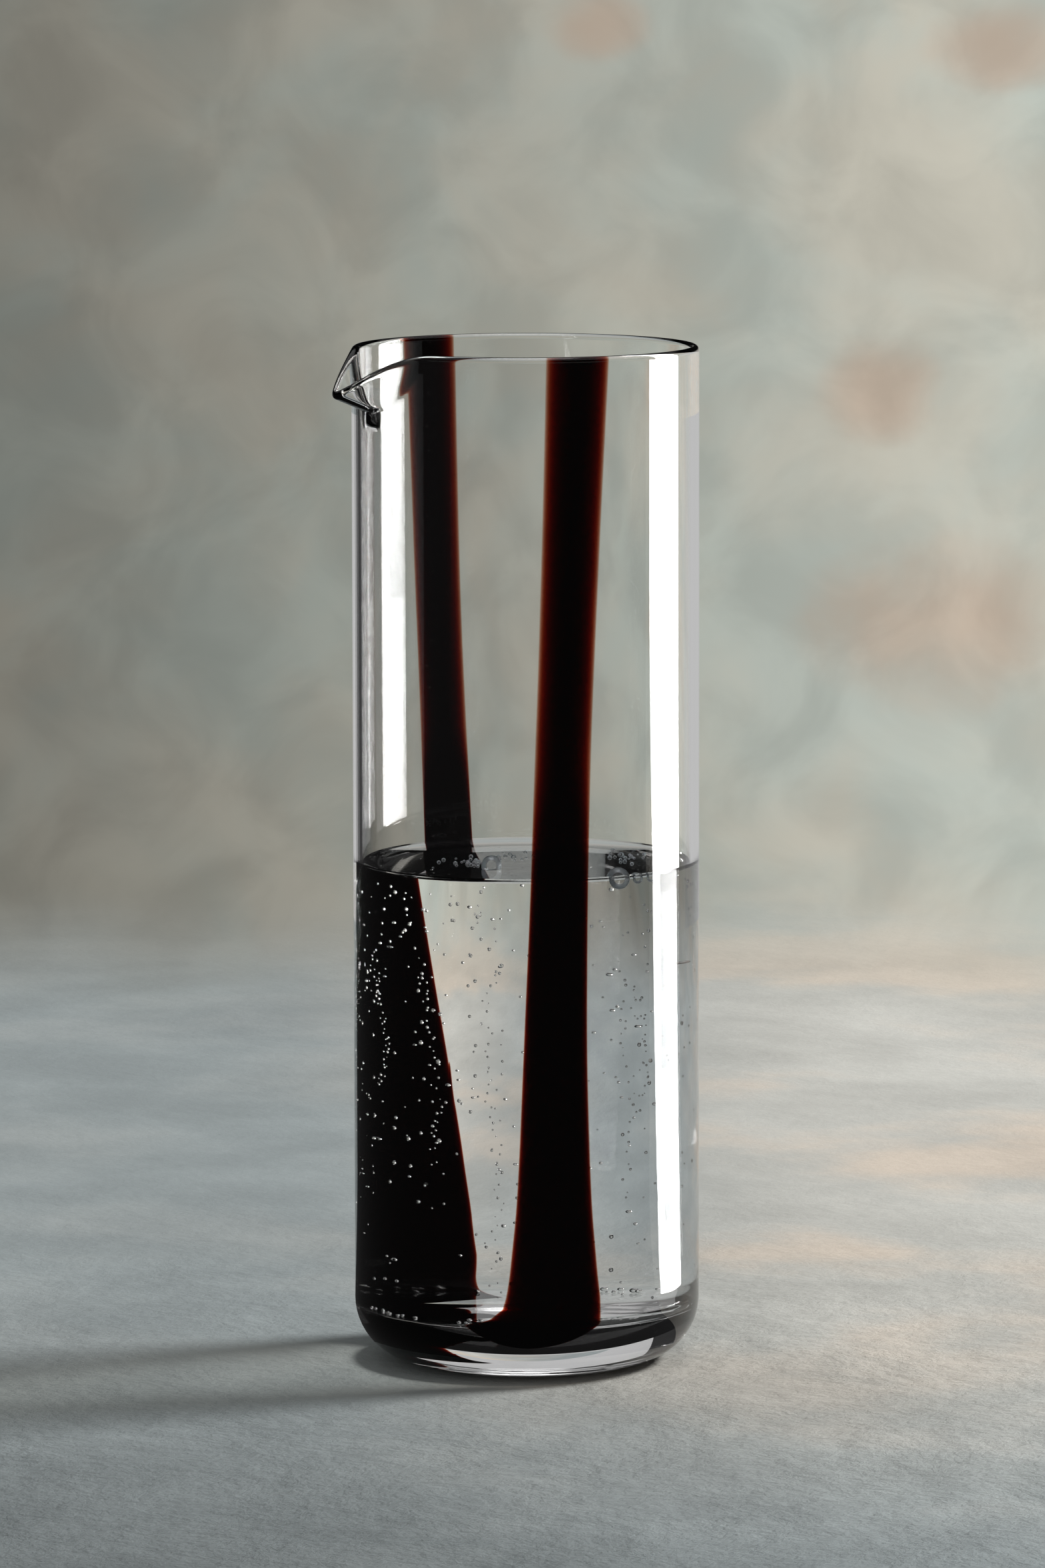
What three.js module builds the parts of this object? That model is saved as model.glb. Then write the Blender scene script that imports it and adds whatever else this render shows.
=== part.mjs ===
// A tall blown glass jug with a pulled spout and two dark bands cased in its clear wall.
// Millimetres, +Z up. The origin is the centre of the flat underside, and the spout points along -X.
// The clear glass is two gathers, one over the other, and each band lies between them.
import * as THREE from 'three';

// Body
const jugHeight = 280;
const outerDiameter = 95;
const wallThickness = 2.4;
const floorThickness = 15;
const outerCornerRadius = 17.2;
const innerCornerRadius = 3.5;

// Spout: the rim is pulled out and down, and a keel runs from its tip back to the wall
const spoutReach = 11.2;
const spoutDrop = 10.4;
const spoutDepth = 15;
const spoutWidth = 46;
const spoutTipRadius = 1.6;

// Bands: each starts on the corner, in a rounded foot that curls in under the floor, and runs up
// the wall. Seen from above, the edges of both feet follow two straight lines, which pass the axis
// at these offsets, on the spout's side and on the other. The widths are up the wall.
const bandThickness = 1.2;
const bandWidth = 27;
const bandSpoutSideOffset = 19.1;
const bandFarSideOffset = 6.6;

// A foot swells towards the spout, by this many degrees. In its middle it starts this far round the
// corner. Towards its edges it starts later, by the rounding and its power.
const footSwell = 14.6;
const footStart = 2.64;
const footRounding = 8.4;
const footPower = 1.6;

// The first gather under the floor, and its own corner
const gatherFloorThickness = 4.5;
const gatherCornerRadius = 8;

// Azimuths in degrees from +X, anticlockwise from above
const spoutAzimuth = 180;
const stripAzimuth = 259.2;

// How the spout's fold narrows and fades: a power, and the fold's width at the keel's foot
const foldPower = 2.1;
const foldFootShare = 0.35;

// Each band up the wall: a share of the height, then the azimuth of the band's middle in degrees
const frontBandCourseShares = [
  [0.07, 251.1],
  [0.33, 251.7],
  [0.6, 254.2],
  [1, 259.8],
];
const backBandCourseShares = [
  [0.07, 87.3],
  [0.16, 85.5],
  [0.28, 87],
  [0.45, 90.5],
  [0.75, 95.6],
  [1, 98.6],
];

// The swelling of the feet: a share of the steps round the corner, then a share of the swelling
const footSwellShares = [
  [0, 0],
  [0.43, 1],
  [0.86, 1],
  [1, 0.36],
];

// Both bands' width up the wall: a share of the height, then a share of the width at the foot
const bandWidthShares = [
  [0.07, 1],
  [0.09, 1],
  [0.13, 0.86],
  [0.19, 0.765],
  [0.32, 0.665],
  [0.48, 0.6],
  [0.68, 0.59],
  [0.85, 0.625],
  [1, 0.68],
];

// Steps of the grid that every surface of the glass is drawn on
const cornerSteps = 7;
const innerStraightSteps = 3;
const middleStraightSteps = 2;
const outerStraightSteps = 0;
const wallSteps = 7;
const rimSteps = 3;
const bandSteps = 6;
const plainSteps = 18;
const besideSpoutSteps = 4;
const outerRingShares = [0.3, 0.65, 1];
const spoutRowShares = [-0.25, 0, 0.17, 0.34, 0.52, 0.7, 0.85, 1];
const spoutColumnShares = [0, 0.07, 0.14, 0.24, 0.36, 0.5, 0.68, 0.88, 1.1];

const fullTurn = 2 * Math.PI;
const quarterTurn = Math.PI / 2;
const outerRadius = outerDiameter / 2;
const innerRadius = outerRadius - wallThickness;
const middleRadius = outerRadius - wallThickness / 2;
const rimRadius = wallThickness / 2;
const rimBase = jugHeight - rimRadius;
const spoutFoot = rimBase - spoutDepth;
const spoutHalfAngle = spoutWidth / outerDiameter;
const tipAngle = spoutTipRadius / outerRadius;
const gatherFloor = floorThickness - gatherFloorThickness;
const probe = wallThickness / 100;

const radians = THREE.MathUtils.degToRad;
const lerp = THREE.MathUtils.lerp;

// A station table read at a share of the height, straight between its stations
function readShares(table, share) {
  const next = table.findIndex(([at]) => at >= share);
  if (next < 0) return table[table.length - 1][1];
  if (next === 0) return table[0][1];
  const [from, low] = table[next - 1];
  const [to, high] = table[next];
  return THREE.MathUtils.mapLinear(share, from, to, low, high);
}

// The two edges of a band as azimuths in radians: up the wall, and where the straight lines of the
// feet cross a circle, with the swelling added. Inside its own offset a line stays square to the feet.
function wallEdges(courseShares, height) {
  const middle = radians(readShares(courseShares, height / jugHeight));
  const halfAngle = bandWidth * readShares(bandWidthShares, height / jugHeight) / outerDiameter;
  return [middle - halfAngle, middle + halfAngle];
}

function stripEdges(radius, swellShare) {
  const crossing = (offset) => (radius > offset ? Math.asin(offset / radius) : quarterTurn);
  const front = radians(stripAzimuth);
  const back = front - Math.PI;
  const spoutSide = crossing(bandSpoutSideOffset) + radians(footSwell) * swellShare;
  const farSide = crossing(bandFarSideOffset);
  return { front: [front - spoutSide, front + farSide], back: [back - farSide, back + spoutSide] };
}

// How far the spout has grown at a height and azimuth, from 0 on the plain wall to 1 at the tip
function foldShare(azimuth, height) {
  const risen = Math.max(0, (height - spoutFoot) / spoutDepth);
  const halfAngle = spoutHalfAngle * lerp(foldFootShare, 1, risen);
  const away = Math.hypot(azimuth - radians(spoutAzimuth), tipAngle) - tipAngle;
  return risen * Math.max(0, 1 - away / halfAngle) ** foldPower;
}

// The middle of the wall, drawn out and down at the spout
function wallMiddle(azimuth, height) {
  const share = foldShare(azimuth, height);
  const radius = middleRadius + spoutReach * share;
  return new THREE.Vector3(
    radius * Math.cos(azimuth), radius * Math.sin(azimuth), height - spoutDrop * share);
}

// The wall's outward normal and its upward tangent, from points a small probe apart
function wallFrame(azimuth, height) {
  const turn = probe / middleRadius;
  const across = wallMiddle(azimuth + turn, height).sub(wallMiddle(azimuth - turn, height));
  const rise = wallMiddle(azimuth, height).sub(wallMiddle(azimuth, height - probe));
  const normal = new THREE.Vector3().crossVectors(across, rise).normalize();
  return { normal, rise: rise.normalize() };
}

// Grid rows from the axis under the floor, round the corner, up the wall and over the rim. A row
// gives a point for any azimuth and depth, with depth from -1 at the inner face through 0 where
// the two gathers meet to 1 at the outer face, and how thick each gather is there.
function turnedRow(inner, middle, outer) {
  const point = (azimuth, depth) => {
    const at = middle.clone().lerp(depth < 0 ? inner : outer, Math.abs(depth));
    return new THREE.Vector3(at.x * Math.cos(azimuth), at.x * Math.sin(azimuth), at.y);
  };
  return { point, thickness: [inner.distanceTo(middle), middle.distanceTo(outer)] };
}

function wallRow(height) {
  const point = (azimuth, depth) => {
    const { normal } = wallFrame(azimuth, height);
    return wallMiddle(azimuth, height).addScaledVector(normal, depth * rimRadius);
  };
  return { point, thickness: [rimRadius, rimRadius] };
}

function rimRow(angle) {
  const point = (azimuth, depth) => {
    const { normal, rise } = wallFrame(azimuth, rimBase);
    return wallMiddle(azimuth, rimBase)
      .addScaledVector(normal, depth * rimRadius * Math.cos(angle))
      .addScaledVector(rise, rimRadius * Math.sin(angle));
  };
  return { point, thickness: [rimRadius, rimRadius] };
}

// The path of one face under the floor and round its corner: the rings, then a straight run to
// where the quarter circle starts, then the quarter circle over the steps that are left
function basePath(radius, level, cornerRadius, rings, straightSteps) {
  const flatEnd = rings[rings.length - 1];
  const path = rings.map((ring) => new THREE.Vector2(ring, level));
  for (let step = 1; step <= cornerSteps; step++) {
    const turned = Math.max(0, step - straightSteps) / (cornerSteps - straightSteps) * quarterTurn;
    const straight = Math.min(1, step / Math.max(straightSteps, 1));
    path.push(new THREE.Vector2(
      lerp(flatEnd, radius - cornerRadius, straight) + cornerRadius * Math.sin(turned),
      level + cornerRadius * (1 - Math.cos(turned))));
  }
  return path;
}

// Azimuths of a row's columns. Bands take their own columns, so that their edges run along the
// grid. On the spout's side the columns keep the shares of the gap that they have at the rim.
function spoutSideShares() {
  const from = wallEdges(backBandCourseShares, jugHeight)[1];
  const to = wallEdges(frontBandCourseShares, jugHeight)[0];
  const offsets = spoutColumnShares.map((share) => share * spoutHalfAngle);
  const reach = offsets[offsets.length - 1];
  const middle = radians(spoutAzimuth);
  const azimuths = [];
  for (let step = 0; step < besideSpoutSteps; step++) {
    azimuths.push(lerp(from, middle - reach, step / besideSpoutSteps));
  }
  azimuths.push(...offsets.slice(1).reverse().map((offset) => middle - offset));
  azimuths.push(...offsets.slice(0, -1).map((offset) => middle + offset));
  for (let step = 0; step < besideSpoutSteps; step++) {
    azimuths.push(lerp(middle + reach, to, step / besideSpoutSteps));
  }
  return azimuths.map((azimuth) => (azimuth - from) / (to - from));
}

function evenShares(steps) {
  return Array.from({ length: steps }, (_, step) => step / steps);
}

function columnAzimuths({ front, back }) {
  const between = (from, to, shares) => shares.map((share) => lerp(from, to, share));
  return [
    ...between(front[0], front[1], evenShares(bandSteps)),
    ...between(front[1], back[0] + fullTurn, evenShares(plainSteps)),
    ...between(back[0], back[1], evenShares(bandSteps)),
    ...between(back[1], front[0], spoutSideShares()),
  ];
}

function wallColumns(height) {
  return columnAzimuths({
    front: wallEdges(frontBandCourseShares, height),
    back: wallEdges(backBandCourseShares, height),
  });
}

// Every row with its columns. The rings are the radii of the rows under the flat floor.
const flatRadius = outerRadius - outerCornerRadius;
const rings = [
  0,
  bandFarSideOffset,
  (bandFarSideOffset + bandSpoutSideOffset) / 2,
  bandSpoutSideOffset,
  ...outerRingShares.map((share) => lerp(bandSpoutSideOffset, flatRadius, share)),
];

// The steps that a row is past the last ring: none or fewer under the flat floor
const cornerStep = (rowIndex) => rowIndex - (rings.length - 1);

function gridRows() {
  const inner = basePath(innerRadius, floorThickness, innerCornerRadius, rings, innerStraightSteps);
  const middle = basePath(middleRadius, gatherFloor, gatherCornerRadius, rings, middleStraightSteps);
  const outer = basePath(outerRadius, 0, outerCornerRadius, rings, outerStraightSteps);
  const rows = middle.map((at, index) => ({
    ...turnedRow(inner[index], at, outer[index]),
    columns: columnAzimuths(stripEdges(at.x, readShares(footSwellShares, cornerStep(index) / cornerSteps))),
  }));
  const wallFoot = middle[middle.length - 1].y;
  const spoutHeights = spoutRowShares.map((share) => spoutFoot + share * spoutDepth);
  const wallHeights = evenShares(wallSteps).slice(1).map((share) => lerp(wallFoot, spoutHeights[0], share));
  for (const height of [...wallHeights, ...spoutHeights]) {
    rows.push({ ...wallRow(height), columns: wallColumns(height) });
  }
  for (let step = 1; step <= rimSteps; step++) {
    rows.push({ ...rimRow(step / rimSteps * quarterTurn), columns: wallColumns(rimBase) });
  }
  return rows;
}

const rows = gridRows();
const columnCount = rows[0].columns.length;
const lastRow = rows.length - 1;
const frontColumn = 0;
const backColumn = bandSteps + plainSteps;
const bandFootRow = rings.length + middleStraightSteps;
const bandTopRow = lastRow - rimSteps + 1;

// How thick a band is on each side of the surface where the gathers meet. It is a lens: thickest
// along its middle, and thin at its edges, its rounded foot and its top.
function bandHalfThickness(rowIndex, columnIndex) {
  if (rowIndex <= bandFootRow || rowIndex >= bandTopRow) return 0;
  const turned = (cornerStep(rowIndex) - middleStraightSteps) / (cornerSteps - middleStraightSteps);
  const roundCorner = turned * quarterTurn * gatherCornerRadius;
  for (const first of [frontColumn, backColumn]) {
    const across = (columnIndex - first) / bandSteps * 2 - 1;
    const start = footStart + footRounding * Math.abs(across) ** footPower;
    if (Math.abs(across) < 1 && roundCorner > start) return bandThickness / 2 * (1 - across * across);
  }
  return 0;
}

const innerFace = () => -1;
const outerFace = () => 1;
const bandInnerFace = (row, column) => -bandHalfThickness(row, column) / rows[row].thickness[0];
const bandOuterFace = (row, column) => bandHalfThickness(row, column) / rows[row].thickness[1];

// A closed body between two depths of the grid, over a range of rows and columns. Points that
// fall together, at the rim, at the axis and along a band's outline, are one vertex. Where the
// depths meet all over a triangle, outside a band's outline, there is no face.
function bodyBetween(nearDepth, farDepth, rowRange, columnRange) {
  const positions = [];
  const indices = [];
  const known = new Map();
  const pinched = new Set();
  const vertex = (rowIndex, columnIndex, depthOf) => {
    const column = columnIndex % columnCount;
    const at = rows[rowIndex].point(rows[rowIndex].columns[column], depthOf(rowIndex, column));
    const key = at.toArray().map((value) => Math.round(value / probe)).join(' ');
    if (!known.has(key)) {
      known.set(key, positions.length / 3);
      positions.push(at.x, at.y, at.z);
    }
    if (nearDepth(rowIndex, column) === farDepth(rowIndex, column)) pinched.add(known.get(key));
    return known.get(key);
  };
  const addTriangle = (...corners) => {
    const [a, b, c] = corners;
    const flat = corners.every((corner) => pinched.has(corner));
    if (a !== b && b !== c && c !== a && !flat) indices.push(a, b, c);
  };
  const addFace = (depthOf, facesOut) => {
    for (let row = rowRange[0]; row < rowRange[1]; row++) {
      for (let column = columnRange[0]; column < columnRange[1]; column++) {
        const a = vertex(row, column, depthOf);
        const b = vertex(row, column + 1, depthOf);
        const c = vertex(row + 1, column + 1, depthOf);
        const d = vertex(row + 1, column, depthOf);
        const quad = facesOut ? [a, b, c, d] : [a, d, c, b];
        addTriangle(quad[0], quad[1], quad[2]);
        addTriangle(quad[0], quad[2], quad[3]);
      }
    }
  };
  addFace(farDepth, true);
  addFace(nearDepth, false);
  const geometry = new THREE.BufferGeometry();
  geometry.setAttribute('position', new THREE.Float32BufferAttribute(positions, 3));
  geometry.setIndex(indices);
  geometry.computeVertexNormals();
  return geometry;
}

const allRows = [0, lastRow];
const allColumns = [0, columnCount];
const bandRows = [bandFootRow, bandTopRow];

const clearGlass = { color: 0xdfe6e4, roughness: 0.02, metalness: 0, transparent: true, opacity: 0.35 };
const darkGlass = { color: 0x14080a, roughness: 0.03, metalness: 0 };

function addPiece(group, name, geometry, look) {
  const piece = new THREE.Mesh(geometry, new THREE.MeshStandardMaterial(look));
  piece.name = name;
  group.add(piece);
}

const group = new THREE.Group();
addPiece(group, 'inner_gather', bodyBetween(innerFace, bandInnerFace, allRows, allColumns), clearGlass);
addPiece(group, 'outer_gather', bodyBetween(bandOuterFace, outerFace, allRows, allColumns), clearGlass);
for (const [name, first] of [['front_band', frontColumn], ['back_band', backColumn]]) {
  const band = bodyBetween(bandInnerFace, bandOuterFace, bandRows, [first, first + bandSteps]);
  addPiece(group, name, band, darkGlass);
}

export default group;
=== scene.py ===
"""A tall blown glass jug with two dark bands cased in its wall, half full of sparkling water.

Metres, +Z up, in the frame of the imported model: the origin is the centre of the flat underside
and the spout points along -X. Azimuths run anticlockwise from +X as seen from above, in radians
where no comment says degrees.
"""
import math
import random

import bmesh
import bpy
import numpy as np
from mathutils import Matrix, Vector


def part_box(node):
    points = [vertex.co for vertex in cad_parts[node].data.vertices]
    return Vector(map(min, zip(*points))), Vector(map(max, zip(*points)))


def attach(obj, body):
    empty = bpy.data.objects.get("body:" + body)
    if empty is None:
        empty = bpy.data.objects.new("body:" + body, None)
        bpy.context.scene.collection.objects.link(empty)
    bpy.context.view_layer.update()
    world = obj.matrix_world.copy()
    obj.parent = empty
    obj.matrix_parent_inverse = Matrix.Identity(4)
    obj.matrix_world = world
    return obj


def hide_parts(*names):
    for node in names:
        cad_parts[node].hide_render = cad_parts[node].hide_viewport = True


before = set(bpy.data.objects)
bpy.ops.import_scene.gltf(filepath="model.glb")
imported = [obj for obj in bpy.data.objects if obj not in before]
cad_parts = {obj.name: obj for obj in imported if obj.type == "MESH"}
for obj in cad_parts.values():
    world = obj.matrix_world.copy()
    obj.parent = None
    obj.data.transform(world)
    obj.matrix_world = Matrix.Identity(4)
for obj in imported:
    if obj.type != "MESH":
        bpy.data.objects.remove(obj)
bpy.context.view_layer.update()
scene = bpy.context.scene

# The jug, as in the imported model
body_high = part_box("outer_gather")[1]
JUG_HEIGHT = body_high.z
OUTER_RADIUS = body_high.y
WALL = 0.0024
FLOOR_THICKNESS = 0.015
OUTER_CORNER = 0.0172
INNER_CORNER = 0.0035
SPOUT_REACH = 0.0112
SPOUT_DROP = 0.0104
SPOUT_DEPTH = 0.015
SPOUT_WIDTH = 0.046
SPOUT_TIP_RADIUS = 0.0016
FOLD_POWER = 2.1
FOLD_FOOT_SHARE = 0.35

# The bands. Under the floor both follow one strip across the jug, which reaches further towards
# the spout. Their courses up the wall are tables of stations: a share of the jug's height, then
# an azimuth in degrees or a share of the band's width.
BAND_THICKNESS = 0.0012
BAND_WIDTH = 0.027
STRIP_SPOUT_SIDE = 0.0191
STRIP_FAR_SIDE = 0.0066
STRIP_LEVEL = 0.0105
STRIP_CORNER = 0.008
STRIP_AZIMUTH = math.radians(259.2)
FRONT_COURSE = ((0.07, 251.1), (0.33, 251.7), (0.6, 254.2), (1, 259.8))
BACK_COURSE = ((0.07, 87.3), (0.16, 85.5), (0.28, 87), (0.45, 90.5), (0.75, 95.6), (1, 98.6))
WIDTH_COURSE = ((0.07, 1), (0.09, 1), (0.13, 0.86), (0.19, 0.765), (0.32, 0.665),
                (0.48, 0.6), (0.68, 0.59), (0.85, 0.625), (1, 0.68))
COURSE_ROUNDING = 0.05
COURSE_SAMPLES = 9

# The water: its flat level, how high it climbs the glass, and the capillary length of water
WATER_LEVEL = 0.137
MENISCUS_HEIGHT = 0.002
CAPILLARY_LENGTH = 0.0027

# Refractive indices
GLASS = 1.5
WATER = 1.333
AIR = 1.0
NO_BEND = 1.0

# The photograph's camera. Its azimuth is that of the direction to its right.
VIEW_AZIMUTH = math.radians(-28)
CAMERA_DISTANCE = 2.4499
CAMERA_ASIDE = -0.000983
CAMERA_HEIGHT = 0.45845
CAMERA_PITCH = 0.1215
CAMERA_ROLL = -0.0019
CAMERA_LENS = 206.43
SENSOR_WIDTH = 36.0

RIGHT = Vector((math.cos(VIEW_AZIMUTH), math.sin(VIEW_AZIMUTH), 0))
AWAY = Vector((-math.sin(VIEW_AZIMUTH), math.cos(VIEW_AZIMUTH), 0))
UP = Vector((0, 0, 1))

RIM_RADIUS = WALL / 2
INNER_RADIUS = OUTER_RADIUS - WALL
MIDDLE_RADIUS = OUTER_RADIUS - WALL / 2
RIM_BASE = JUG_HEIGHT - RIM_RADIUS
SPOUT_FOOT = RIM_BASE - SPOUT_DEPTH
CONTACT_HEIGHT = WATER_LEVEL + MENISCUS_HEIGHT
TIP_ANGLE = SPOUT_TIP_RADIUS / OUTER_RADIUS
SPOUT_HALF_ANGLE = SPOUT_WIDTH / 2 / OUTER_RADIUS
# The step over which the wall's slopes are measured
PROBE = WALL / 100


def lerp(start, end, share):
    return start + (end - start) * share


def on_stage(right, away, up):
    """A point given as seen from the camera: to the right of the jug, behind it, and up."""
    return right * RIGHT + away * AWAY + up * UP


# Camera

def add_camera():
    data = bpy.data.cameras.new("camera")
    data.lens = CAMERA_LENS
    data.sensor_width = SENSOR_WIDTH
    camera = bpy.data.objects.new("camera", data)
    place = Matrix.Translation(on_stage(CAMERA_ASIDE, -CAMERA_DISTANCE, CAMERA_HEIGHT))
    turn = Matrix.Rotation(VIEW_AZIMUTH, 4, "Z")
    tilt = Matrix.Rotation(math.pi / 2 - CAMERA_PITCH, 4, "X")
    camera.matrix_world = place @ turn @ tilt @ Matrix.Rotation(CAMERA_ROLL, 4, "Z")
    scene.collection.objects.link(camera)
    scene.camera = camera


# Shape of the wall

def ring(azimuth, radius, height):
    """Points at a radius and height for each azimuth."""
    azimuth, radius, height = np.broadcast_arrays(azimuth, radius, height)
    return np.stack([radius * np.cos(azimuth), radius * np.sin(azimuth), height], axis=-1)


def fold_share(azimuth, height):
    """How far the spout has grown, from 0 on the plain wall to 1 at its tip."""
    risen = np.maximum(0, (height - SPOUT_FOOT) / SPOUT_DEPTH)
    half_angle = SPOUT_HALF_ANGLE * lerp(FOLD_FOOT_SHARE, 1, risen)
    away = np.hypot(azimuth - math.pi, TIP_ANGLE) - TIP_ANGLE
    return risen * np.maximum(0, 1 - away / half_angle) ** FOLD_POWER


def wall_middle(azimuth, height):
    """Points halfway through the wall."""
    share = fold_share(azimuth, height)
    return ring(azimuth, MIDDLE_RADIUS + SPOUT_REACH * share, height - SPOUT_DROP * share)


def unit(vectors):
    return vectors / np.linalg.norm(vectors, axis=-1, keepdims=True)


def wall_frame(azimuth, height):
    """The wall's outward normal and its upward tangent."""
    turn = PROBE / MIDDLE_RADIUS
    across = wall_middle(azimuth + turn, height) - wall_middle(azimuth - turn, height)
    rise = wall_middle(azimuth, height) - wall_middle(azimuth, height - PROBE)
    return unit(np.cross(across, rise)), unit(rise)


def wall_ring(azimuth, height, depth):
    """A ring of the wall, with depth from -1 at the inner face to 1 at the outer face."""
    normal, _ = wall_frame(azimuth, height)
    return wall_middle(azimuth, height) + normal * depth * RIM_RADIUS


def rim_ring(azimuth, angle):
    """A ring of the rounded rim, with the angle from 0 at the outer face to pi at the inner."""
    normal, rise = wall_frame(azimuth, RIM_BASE)
    across = math.cos(angle) * normal + math.sin(angle) * rise
    return wall_middle(azimuth, RIM_BASE) + across * RIM_RADIUS


def corner(radius, level, corner_radius, turn):
    """A point of the quarter circle between a flat bottom and the wall, as radius and height."""
    return (radius - corner_radius * (1 - np.sin(turn)),
            level + corner_radius * (1 - np.cos(turn)))


# Mesh building

WELD_DISTANCE = 1e-6
SHORTEST_EDGE = 1e-7


def add_piece(name, vertices, faces, materials, slots=None, smooth=True):
    mesh = bpy.data.meshes.new(name)
    mesh.from_pydata(np.asarray(vertices).tolist(), [], faces)
    for material in materials:
        mesh.materials.append(material)
    if slots is not None:
        mesh.polygons.foreach_set("material_index", slots)
    mesh.polygons.foreach_set("use_smooth", [smooth] * len(mesh.polygons))
    mesh.update()
    piece = bpy.data.objects.new(name, mesh)
    scene.collection.objects.link(piece)
    return piece


def add_turned_piece(name, rings, row_slots, materials):
    """A closed mesh of rings, whose first and last rings are single points. Seen along the
    path of the rings, the solid lies on the right. row_slots has a material slot per gap."""
    columns = len(rings[1])
    vertices = [rings[0][:1], *rings[1:-1], rings[-1][:1]]
    faces = []
    slots = []

    def index(row, column):
        if row == 0:
            return 0
        if row == len(rings) - 1:
            return 1 + columns * (len(rings) - 2)
        return 1 + (row - 1) * columns + column % columns

    for row, slot in enumerate(row_slots):
        for column in range(columns):
            corners = [index(row, column), index(row + 1, column),
                       index(row + 1, column + 1), index(row, column + 1)]
            faces.append(list(dict.fromkeys(corners)))
            slots.append(slot)
    return add_piece(name, np.concatenate(vertices), faces, materials, slots)


def weld(piece):
    """Joins the points that fall together."""
    mesh = bmesh.new()
    mesh.from_mesh(piece.data)
    bmesh.ops.remove_doubles(mesh, verts=mesh.verts, dist=WELD_DISTANCE)
    bmesh.ops.dissolve_degenerate(mesh, edges=mesh.edges, dist=SHORTEST_EDGE)
    for face in mesh.faces:
        face.smooth = True
    mesh.to_mesh(piece.data)
    mesh.free()


# Materials

# What each clear material leaves of the lamps' light
CLEAR = (1, 1, 1)
WALL_TINT = (0.93, 0.92, 0.9)
WALL_MARGIN_TINT = (0.3, 0.27, 0.24)
BASE_TINT = (0.03, 0.03, 0.03)
SURFACE_TINT = (0.97, 0.97, 0.97)
FILM_TINT = (0.97, 0.97, 0.97)
# The slant of the light, from 0 square on to 1 edge on, at which the margin starts and is full
GRAZE_START = 0.2
GRAZE_END = 0.6
# Faint ripples in the clear glass and on the water
RIPPLE_SCALE = 40
RIPPLE_DETAIL = 2
RIPPLE_STRENGTH = 0.02
RIPPLE_DEPTH = 0.0002
BAND_COLOUR = (0.69, 0.24, 0.04)
BAND_DENSITY = 17500
# A floating bubble's skin mirrors more than water would, so that its outline shows
FILM_COLOUR = (0.9, 0.93, 0.95)
FILM_ROUGHNESS = 0.3
FILM_INDEX = 1.9
# Places of the colours among the sockets of a Mix node
FIRST_COLOUR = 6
SECOND_COLOUR = 7
MIXED_COLOUR = 2
# The threshold between no and yes, or between no bounce and one
HALFWAY = 0.5


class Shading:
    """The nodes of a material or world, with a short call for each kind used here."""

    def __init__(self, owner):
        owner.use_nodes = True
        self.owner = owner
        self.tree = owner.node_tree
        self.tree.nodes.clear()

    def node(self, kind, inputs=None, **settings):
        """A node. Each input, by name or place, gets a value or another node's output."""
        node = self.tree.nodes.new(f"ShaderNode{kind}")
        for setting, value in settings.items():
            setattr(node, setting, value)
        for name, value in (inputs or {}).items():
            socket = node.inputs[name]
            if isinstance(value, bpy.types.NodeSocket):
                self.tree.links.new(value, socket)
            elif socket.type == "RGBA":
                socket.default_value = (*value, 1)
            else:
                socket.default_value = value
        return node

    def math(self, operation, first, second):
        return self.node("Math", {0: first, 1: second}, operation=operation).outputs[0]

    def spread(self, value, start, end, low, high):
        """A soft step from one level to another."""
        levels = {"Value": value, "From Min": start, "From Max": end, "To Min": low, "To Max": high}
        return self.node("MapRange", levels, interpolation_type="SMOOTHSTEP").outputs[0]

    def clear(self, tint=CLEAR):
        return self.node("BsdfTransparent", {"Color": tint}).outputs[0]

    def mix(self, share, first, second):
        """Two shaders mixed by a share."""
        return self.node("MixShader", {0: share, 1: first, 2: second}).outputs[0]

    def finish(self, surface, volume=None):
        """Ends a material's nodes, and gives the material."""
        ends = {"Surface": surface}
        if volume is not None:
            ends["Volume"] = volume
        self.node("OutputMaterial", ends)
        return self.owner


def new_shading(name):
    return Shading(bpy.data.materials.new(name))


def let_lamps_through(shading, shader, tint, margin=None):
    """Lamps and soft light pass the shader as through clear glass, so that it throws a light
    shadow. With a margin colour, they dim to it where they graze the glass, because round
    glass full of water turns light aside near its outline."""
    path = shading.node("LightPath").outputs
    lamps = shading.math("MAXIMUM", path["Is Shadow Ray"], path["Is Diffuse Ray"])
    passed = shading.clear(tint)
    if margin is not None:
        slant = shading.node("LayerWeight").outputs["Facing"]
        grazed = shading.spread(slant, GRAZE_START, GRAZE_END, 0, 1)
        passed = shading.mix(grazed, passed, shading.clear(margin))
    return shading.mix(lamps, shader, passed)


def ripples(shading):
    place = shading.node("TexCoord").outputs["Object"]
    noise = shading.node("TexNoise", {"Vector": place, "Scale": RIPPLE_SCALE,
                                      "Detail": RIPPLE_DETAIL})
    bump = shading.node("Bump", {"Height": noise.outputs["Fac"], "Strength": RIPPLE_STRENGTH,
                                 "Distance": RIPPLE_DEPTH})
    return bump.outputs["Normal"]


def clear_surface(shading, index, tint, margin=None):
    """Smooth clear glass or water, with faint ripples."""
    glass = shading.node("BsdfPrincipled", {
        "Base Color": CLEAR, "Roughness": 0, "IOR": index, "Transmission Weight": 1,
        "Normal": ripples(shading)})
    return let_lamps_through(shading, glass.outputs[0], tint, margin)


def clear_glass(name, index, tint, margin=None):
    shading = new_shading(name)
    return shading.finish(clear_surface(shading, index, tint, margin))


def dark_band_glass():
    """Dark red-brown glass with the index of the clear glass round it. Its thin edges glow."""
    shading = new_shading("dark_band_glass")
    volume = shading.node("VolumeAbsorption", {"Color": BAND_COLOUR, "Density": BAND_DENSITY})
    return shading.finish(clear_surface(shading, NO_BEND, CLEAR), volume.outputs[0])


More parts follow.
